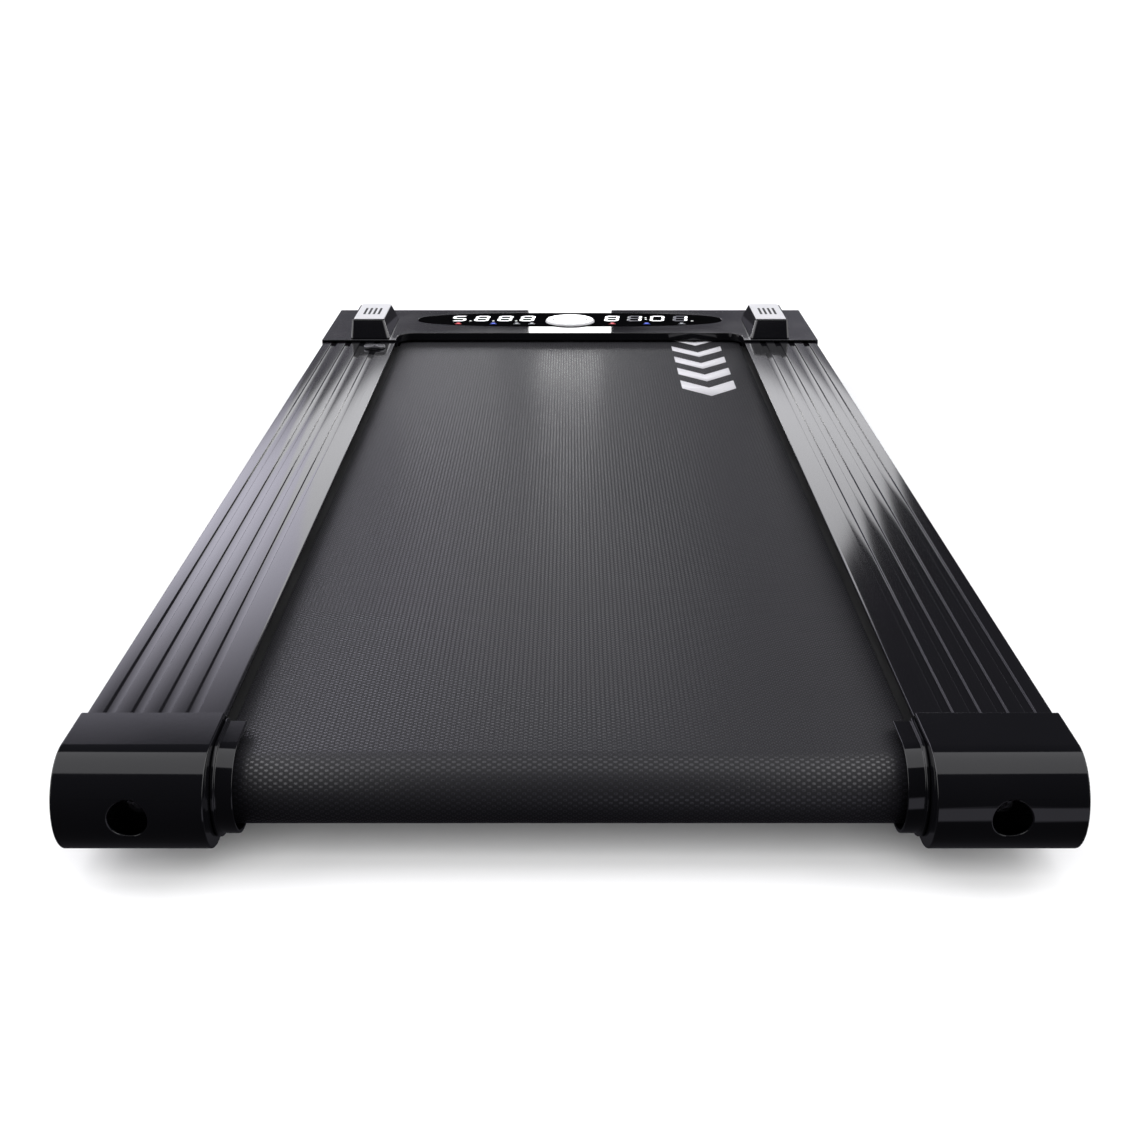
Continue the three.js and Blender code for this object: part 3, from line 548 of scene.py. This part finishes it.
def makeButton():
    x, y = buttonCentre.x, buttonCentre.y
    low, high = buttonLow.z, buttonHigh.z
    radius, groove, dome = button["radius"], button["groove"], button["dome"]
    profile = [(0, low), (radius, low), (radius, high - dome - 0.9 * mm),
               (radius - 0.3 * mm, high - dome - 0.3 * mm), (radius - 1.0 * mm, high - dome)]
    profile += [(groove + 0.7 * mm, high - 0.35 * mm), (groove + 0.2 * mm, high - 0.75 * mm),
                (groove - 0.2 * mm, high - 0.75 * mm), (groove - 0.7 * mm, high - 0.3 * mm)]
    steps = 8
    for i in range(1, steps + 1):
        share = 1 - i / steps
        profile.append(((groove - 0.7 * mm) * share, high - 0.3 * mm * share ** 2))
    cap = turned("start_button_dome", profile, (x, y, 0), "Z", 72)
    settle(cap, "whitePlastic", "start_button")
    inner, outer = radius + button["gap"], (ringHigh.x - ringLow.x) / 2
    neck = outer - button["lip"]
    rise = ringHigh.z
    flangeTop = ringLow.z + button["flange"]
    ring = [(inner, ringLow.z), (outer, ringLow.z), (outer, flangeTop), (neck, flangeTop)]
    outerRound, innerRound = button["outerRound"], button["innerRound"]
    for i in range(9):
        turn = math.pi / 2 * i / 8
        ring.append((neck - outerRound * (1 - math.cos(turn)), rise - outerRound * (1 - math.sin(turn))))
    for i in range(5):
        turn = math.pi / 2 * i / 4
        ring.append((inner + innerRound * (1 - math.sin(turn)), rise - innerRound * (1 - math.cos(turn))))
    rim = turned("button_ring_rim", ring, (x, y, 0), "Z", 96)
    settle(rim, "whitePlastic", "button_ring")


makeButton()

# display digits
display = {"height": 30 * mm, "width": 17.5 * mm, "stroke": 3.7 * mm, "gap": 0.3 * mm, "lean": 0.09,
           "lift": 0.03 * mm, "thick": 0.1 * mm, "rowShift": 5 * mm, "iconShift": -21 * mm,
           "leftGroup": (-134, -106.5, -78.5, -51.5), "rightGroup": (51, 78.5, 106, 134),
           "leftNumber": "5888", "rightNumber": "8101", "ghosts": (78.5, 134), "ghostSegments": "adefg",
           "dots": (-120.2, -92.5, -65.0, 147.5), "dotRadius": 1.5 * mm, "dotRise": 1.4 * mm,
           "colonAt": 92, "colonSpread": 4.2, "iconReach": 4 * mm, "iconBar": (4.6 * mm, 3.6 * mm)}
iconSpots = {"red": ((-134, 2.4), (51, 2.4)), "blue": ((-92, 2.4), (92, 2.6)),
             "soft": ((-64, 2.2), (-46, 2.2), (134, 2.2))}
segmentsOf = {"0": "abcdef", "1": "bc", "2": "abged", "3": "abgcd", "4": "fgbc", "5": "afgcd", "6": "afgedc",
              "7": "abc", "8": "abcdefg", "9": "abcdfg"}


def segmentOutline(letter, x, y):
    # a six-sided stroke with pointed ends
    w, h, s = display["width"] / 2, display["height"] / 2, display["stroke"] / 2
    gap = display["gap"]
    rows = {"a": h - s, "g": 0, "d": -h + s}
    if letter in rows:
        cy = y + rows[letter]
        reach = w - s - gap
        return [(x - reach, cy), (x - reach + s, cy - s), (x + reach - s, cy - s), (x + reach, cy),
                (x + reach - s, cy + s), (x - reach + s, cy + s)]
    cx = x + (w - s if letter in "bc" else -w + s)
    low, high = (gap, h - s - gap) if letter in "bf" else (-h + s + gap, -gap)
    return [(cx, y + low), (cx + s, y + low + s), (cx + s, y + high - s), (cx, y + high),
            (cx - s, y + high - s), (cx - s, y + low + s)]


def leaning(outline, rowY):
    return [(x + (y - rowY) * display["lean"], y) for x, y in outline]


def disc(x, y, radius, steps=16):
    return [(x + radius * math.cos(2 * math.pi * i / steps), y + radius * math.sin(2 * math.pi * i / steps))
            for i in range(steps)]


def makeDisplay():
    low = windowHigh.z + display["lift"]
    high = low + display["thick"]
    rowY = windowCentre.y + display["rowShift"]

    def strokes(work, place, letters):
        for letter in letters:
            prism(work, leaning(segmentOutline(letter, place * mm, rowY), rowY), low, high)

    work = bmesh.new()
    for side in ("left", "right"):
        for place, numeral in zip(display[f"{side}Group"], display[f"{side}Number"]):
            strokes(work, place, segmentsOf[numeral])
    dotY = rowY - display["height"] / 2 + display["dotRise"]
    for dot in display["dots"]:
        prism(work, disc(dot * mm, dotY, display["dotRadius"]), low, high)
    for colon in (-display["colonSpread"], display["colonSpread"]):
        prism(work, disc(display["colonAt"] * mm, rowY + colon * mm, display["dotRadius"]), low, high)
    settle(made("display_digits", work), "whiteSegment")
    work = bmesh.new()
    for place in display["ghosts"]:
        strokes(work, place, display["ghostSegments"])
    settle(made("display_ghosts", work), "dimSegment")
    iconY = windowCentre.y + display["iconShift"]
    reach = display["iconReach"]
    barLow, barHigh = (iconY - drop for drop in display["iconBar"])
    for colour, spots in iconSpots.items():
        work = bmesh.new()
        for place, radius in spots:
            x = place * mm
            prism(work, disc(x, iconY, radius * mm), low, high)
            bar = [(x - reach, barLow), (x + reach, barLow), (x + reach, barHigh), (x - reach, barHigh)]
            prism(work, bar, low, high)
        settle(made(f"display_icons_{colour}", work), f"{colour}Segment")


makeDisplay()
print("display made")

# plain ridges on the corner block plates
ridges = {"count": 4, "length": 34 * mm, "width": 2.6 * mm, "pitch": 5.6 * mm, "height": 0.12 * mm,
          "sink": 0.05 * mm}


def makeRidges(side):
    low, high = (Vector(corner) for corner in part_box(f"{side}_block_plate"))
    x, y = (low.x + high.x) / 2, (low.y + high.y) / 2
    work = bmesh.new()
    halfLength = ridges["length"] / 2
    halfWidth = ridges["width"] / 2
    for i in range(ridges["count"]):
        middle = x + (i - (ridges["count"] - 1) / 2) * ridges["pitch"]
        outline = [(middle - halfWidth, y - halfLength), (middle + halfWidth, y - halfLength),
                   (middle + halfWidth, y + halfLength), (middle - halfWidth, y + halfLength)]
        prism(work, outline, high.z - ridges["sink"], high.z + ridges["height"])
    settle(made(f"{side}_plate_ridges", work), "moulded", bevel=0.05 * mm)


for side in ("left", "right"):
    makeRidges(side)

# tension bolts: socket head and a cut thread
bolt = {"head": 6.5 * mm, "headLength": 8 * mm, "shank": 4 * mm, "pitch": 1.25 * mm, "threadDepth": 0.6 * mm,
        "socket": 3.4 * mm, "socketDepth": 4 * mm, "chamfer": 0.5 * mm, "plain": 6 * mm}


def makeBolt(side):
    low, high = (Vector(corner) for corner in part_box(f"{side}_tension_bolt"))
    x, z = (low.x + high.x) / 2, (low.z + high.z) / 2
    head, shank = bolt["head"], bolt["shank"]
    neck = low.y + bolt["headLength"]
    socket, chamfer = bolt["socket"], bolt["chamfer"]
    socketEnd = low.y + bolt["socketDepth"]
    profile = [(socket, low.y), (head - chamfer, low.y), (head, low.y + chamfer), (head, neck), (shank, neck)]
    threadStart, threadEnd = neck + bolt["plain"], high.y - 1 * mm
    turns = int((threadEnd - threadStart) / bolt["pitch"])
    for i in range(turns):
        y = threadStart + i * bolt["pitch"]
        profile += [(shank, y), (shank - bolt["threadDepth"], y + bolt["pitch"] / 2)]
    profile += [(shank - chamfer, high.y), (0, high.y), (0, socketEnd), (socket, socketEnd)]
    piece = turned(f"{side}_tension_screw", profile, (x, 0, z), "Y", 36)
    settle(piece, "zincSteel", f"{side}_tension_bolt")
    for face in piece.data.polygons:
        face.use_smooth = False


for side in ("left", "right"):
    makeBolt(side)

# transport wheels and feet
wheel = {"tread": 1.0 * mm, "hub": 12 * mm, "dish": 2.5 * mm, "bore": 4.1 * mm, "treadPlaces": (6, 2, -2, -6)}


def makeWheel(side):
    node = f"{side}_transport_wheel"
    low, high = (Vector(corner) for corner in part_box(node))
    centre = (low + high) / 2
    radius, half = (high.z - low.z) / 2, (high.x - low.x) / 2
    bore, hub, dish = wheel["bore"], wheel["hub"], wheel["dish"]
    face = [(bore, half), (hub, half), (hub + 1 * mm, half - dish), (radius - 5 * mm, half - dish),
            (radius - 4 * mm, half), (radius - 1.6 * mm, half), (radius - 0.4 * mm, half - 0.7 * mm)]
    grooves = []
    for x in wheel["treadPlaces"]:
        grooves += [(radius, (x + 1.1) * mm), (radius - wheel["tread"], (x + 0.6) * mm),
                    (radius - wheel["tread"], (x - 0.6) * mm), (radius, (x - 1.1) * mm)]
    profile = face + grooves + [(r, -along) for r, along in reversed(face)]
    settle(turned(f"{node}_tyre", profile, centre, "X", 72), "moulded", node, bevel=0.25 * mm)


foot = {"rings": 3, "ringWidth": 2.2 * mm, "ringDepth": 1.0 * mm, "ringSlope": 0.4 * mm,
        "firstRing": 7 * mm, "ringPitch": 4.6 * mm}


def makeFoot(node):
    low, high = (Vector(corner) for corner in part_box(node))
    centre = (low + high) / 2
    radius = (high.x - low.x) / 2
    profile = [(0, high.z), (0, low.z), (5 * mm, low.z)]
    ringFloor = low.z + foot["ringDepth"]
    slope = foot["ringSlope"]
    for i in range(foot["rings"]):
        inner = foot["firstRing"] + i * foot["ringPitch"]
        outer = inner + foot["ringWidth"]
        profile += [(inner, low.z), (inner + slope, ringFloor), (outer - slope, ringFloor), (outer, low.z)]
    profile += [(radius - 1.5 * mm, low.z), (radius - 0.4 * mm, low.z + 0.4 * mm), (radius, low.z + 1.5 * mm),
                (radius - 0.4 * mm, low.z + 4 * mm), (radius - 1.4 * mm, low.z + 5 * mm),
                (radius - 3 * mm, high.z - 1 * mm), (radius - 4 * mm, high.z)]
    settle(turned(f"{node}_pad", profile, (centre.x, centre.y, 0), "Z", 64), "softRubber", node,
           bevel=0.2 * mm)


for side in ("left", "right"):
    makeWheel(side)
    makeFoot(f"{side}_rear_foot")
    makeFoot(f"{side}_front_foot")
print("small parts made")

# screws under the pan and caps
screw = {"radius": 3.6 * mm, "height": 1.1 * mm, "slot": 0.5 * mm, "crown": 0.72, "steps": 24,
         "fromEdge": 16 * mm, "panSide": 205 * mm, "panMiddle": 90 * mm}


def screwPlaces():
    side, middle = screw["panSide"], screw["panMiddle"]
    places = [(x, y) for x in (-side, side) for y in (hoodLow.y + 14 * mm, hoodHigh.y - 60 * mm)]
    places += [(x, hoodHigh.y - 40 * mm) for x in (-middle, middle)]
    capLow, capHigh = (Vector(corner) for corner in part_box("right_end_cap"))
    inset = screw["fromEdge"]
    for side in (-1, 1):
        places += [(side * x, capHigh.y - inset) for x in (capLow.x + inset, capHigh.x - inset)]
    return places


def makeScrews():
    work = bmesh.new()
    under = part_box("belly_pan")[0][2]
    steps, height = screw["steps"], screw["height"]
    quarter = steps // 4
    rings = [(screw["radius"], under), (screw["radius"], under - height * 0.5),
             (screw["radius"] * screw["crown"], under - height)]
    for x, y in screwPlaces():
        levels = []
        for radius, z in rings:
            turns = [2 * math.pi * i / steps for i in range(steps)]
            levels.append([work.verts.new((x + radius * math.cos(turn), y + radius * math.sin(turn), z))
                           for turn in turns])
        for low, high in zip(levels, levels[1:]):
            for i in range(steps):
                j = (i + 1) % steps
                work.faces.new((low[i], low[j], high[j], high[i]))
        # a cross recess pressed into the head
        flat = levels[-1]
        recess = under - height * 0.25
        slot = screw["slot"]
        corners = [math.pi / 4 + math.pi / 2 * k for k in range(4)]
        middle = [work.verts.new((x + slot * math.cos(turn), y + slot * math.sin(turn), recess))
                  for turn in corners]
        for k in range(4):
            ring = [flat[(quarter * k + quarter // 2 + i) % steps] for i in range(quarter + 1)]
            for a, b in zip(ring, ring[1:]):
                near = middle[k] if ring.index(b) <= quarter // 2 else middle[(k + 1) % 4]
                work.faces.new((a, b, near))
            work.faces.new((ring[quarter // 2], middle[(k + 1) % 4], middle[k]))
        work.faces.new(middle)
        work.faces.new(list(reversed(levels[0])))
    settle(made("underside_screws", work), "zincSteel")


makeScrews()

# floor, light and camera
studio = {"floorSize": 60, "floorColour": 0.93}


def makeFloor():
    work = bmesh.new()
    reach = studio["floorSize"] / 2
    corners = ((-reach, -reach), (reach, -reach), (reach, reach), (-reach, reach))
    work.faces.new([work.verts.new((x, y, 0)) for x, y in corners])
    floor = made("studio_floor", work)
    paint = bpy.data.materials.new("paleFloor")
    g = Graph(paint)
    mottled = g.mix(g.noise(3, 2), grey(studio["floorColour"]), grey(studio["floorColour"] + 0.01))
    g.output(g.principled(baseColor=mottled, roughness=0.9, specular=0.0))
    floor.data.materials.append(paint)
    floor.visible_glossy = False
    floor.visible_diffuse = False


makeFloor()

sky = {"fill": 0.05, "lowLeft": 0.17, "lowRight": 0.21, "sides": 2.0, "overhead": 1.35, "coolPanel": 2.7,
       "mainPanel": 2.05, "kick": 0.6}


def makeSky():
    world = bpy.data.worlds.new("studio")
    bpy.context.scene.world = world
    g = Graph(world)
    way = g.node("ShaderNodeTexCoord", output="Generated")
    x, y, z = (g.node("ShaderNodeSeparateXYZ", {}, {0: way}, i) for i in range(3))
    degrees = 180 / math.pi
    elevation = z.math("ARCSINE") * degrees
    azimuth = x.math("ARCTAN2", y) * degrees
    tiltBack = y.math("ARCTAN2", z) * degrees
    tiltSide = x.math("ARCTAN2", z) * degrees

    def between(value, low, high, soft):
        return (g.ranged(value, low - soft, low + soft, smooth=True)
                * g.ranged(value, high - soft, high + soft, 1, 0, smooth=True))

    overhead = between(tiltBack, -21, 33, 1.2) * between(tiltSide, -50, 50, 6) * (z > 0)
    sides = g.ranged(x.math("ABSOLUTE"), 0.52, 0.66, smooth=True) * g.ranged(elevation, 8, 16, smooth=True)
    coolPanel = (between(azimuth, -75, -10.2, 0.25) * g.ranged(azimuth, -14, -10.2, 1, 0.8)
                 * g.ranged(elevation, 12.5, 17.5, smooth=True)
                 * g.ranged(elevation, 18.5, 28.0, 1, 0, smooth=True))
    rise = elevation + (azimuth + 7.3).math("MINIMUM", 0.0) * 0.4
    slant = elevation + (azimuth - 10.4).math("MAXIMUM", -3.0) * 1.4
    mainPanel = (between(azimuth, -10.2, 70, 0.25) * g.ranged(rise, 13.5, 14.5, smooth=True)
                 * g.ranged(slant, 19.8, 20.8, 1, 0, smooth=True))
    kick = between(elevation, -30, -3, 3) * (y < 0) * g.ranged(x, 0.0, 0.1)
    low = between(elevation, 2, 14, 1.2) * (y > 0)
    lowSide = low * (g.ranged(azimuth, -9, -2, sky["lowLeft"], sky["lowLeft"] * 0.1) * (azimuth < 1)
                     + g.ranged(azimuth, 2, 8.5, 0.0, sky["lowRight"]) * (azimuth > 1))
    cool, neutral, white = (0.88, 0.86, 1.0, 1), (0.97, 0.97, 1.0, 1), (1, 1, 1, 1)

    def light(amount, colour):
        return g.node("ShaderNodeBackground", {}, {"Color": colour, "Strength": amount})

    total = light(sky["fill"], cool)
    for amount, colour in ((overhead * sky["overhead"], neutral), (sides * sky["sides"], white),
                           (coolPanel * sky["coolPanel"], cool), (mainPanel * sky["mainPanel"], neutral),
                           (lowSide, cool), (kick * sky["kick"], cool)):
        total = g.node("ShaderNodeAddShader", {}, {0: total, 1: light(amount, colour)})
    seen = g.node("ShaderNodeLightPath", output="Is Camera Ray")
    backdrop = light(1.0, white)
    shader = g.node("ShaderNodeMixShader", {}, {0: seen, 1: total, 2: backdrop})
    g.node("ShaderNodeOutputWorld", {}, {"Surface": shader})


makeSky()

lamp = {"width": 0.114, "low": 0.08, "high": 0.196, "y": 0.80, "radiance": 6.0, "washSize": 4.0,
        "washRadiance": 3.3, "washPlace": (0, -3.6, 2.0), "glowWidth": 0.22, "glowHeight": 0.14,
        "glowRadiance": 1.35, "glowPlace": (-0.25, 0.80, 0.21)}


def makeLamp():
    # a small upright softbox close behind the hood
    data = bpy.data.lights.new("hood_softbox", "AREA")
    data.shape = "RECTANGLE"
    data.size = lamp["width"]
    data.size_y = lamp["high"] - lamp["low"]
    data.energy = lamp["radiance"] * math.pi * data.size * data.size_y
    softbox = bpy.data.objects.new("hood_softbox", data)
    softbox.location = (0, lamp["y"], (lamp["low"] + lamp["high"]) / 2)
    softbox.rotation_euler = (math.radians(-90), 0, 0)
    softbox.visible_camera = False
    bpy.context.scene.collection.objects.link(softbox)

    # a low panel left of the softbox that only lifts the far left of the belt
    low = bpy.data.lights.new("belt_glow", "AREA")
    low.shape = "RECTANGLE"
    low.size, low.size_y = lamp["glowWidth"], lamp["glowHeight"]
    low.energy = lamp["glowRadiance"] * math.pi * low.size * low.size_y
    glow = bpy.data.objects.new("belt_glow", low)
    glow.location = lamp["glowPlace"]
    glow.rotation_euler = (math.radians(-90), 0, 0)
    glow.visible_camera = False
    bpy.context.scene.collection.objects.link(glow)
    beltOnly = bpy.data.collections.new("belt_only")
    beltOnly.objects.link(bpy.data.objects["running_belt_weave"])
    glow.light_linking.receiver_collection = beltOnly

    # a wide wash from behind the viewer that only lifts the floor, so the covers stay black
    wash = bpy.data.lights.new("floor_wash", "AREA")
    wash.shape = "RECTANGLE"
    wash.size = wash.size_y = lamp["washSize"]
    wash.energy = lamp["washRadiance"] * math.pi * wash.size * wash.size_y
    panel = bpy.data.objects.new("floor_wash", wash)
    panel.location = lamp["washPlace"]
    panel.rotation_euler = (Vector((0, -0.6, 0)) - panel.location).to_track_quat("-Z", "Y").to_euler()
    panel.visible_camera = False
    panel.visible_glossy = False
    bpy.context.scene.collection.objects.link(panel)
    floorOnly = bpy.data.collections.new("floor_only")
    floorOnly.objects.link(bpy.data.objects["studio_floor"])
    panel.light_linking.receiver_collection = floorOnly


makeLamp()

view = {"place": (0, -1.3716, 0.4927), "down": 21.18, "lens": 50, "sensor": 36}


def makeCamera():
    data = bpy.data.cameras.new("camera")
    data.lens = view["lens"]
    data.sensor_width = view["sensor"]
    data.dof.use_dof = False
    data.clip_end = 200
    camera = bpy.data.objects.new("camera", data)
    camera.location = view["place"]
    camera.rotation_euler = (math.radians(90 - view["down"]), 0, 0)
    bpy.context.scene.collection.objects.link(camera)
    bpy.context.scene.camera = camera
    bpy.context.scene.view_settings.view_transform = "Standard"


makeCamera()
print("studio ready")

import json
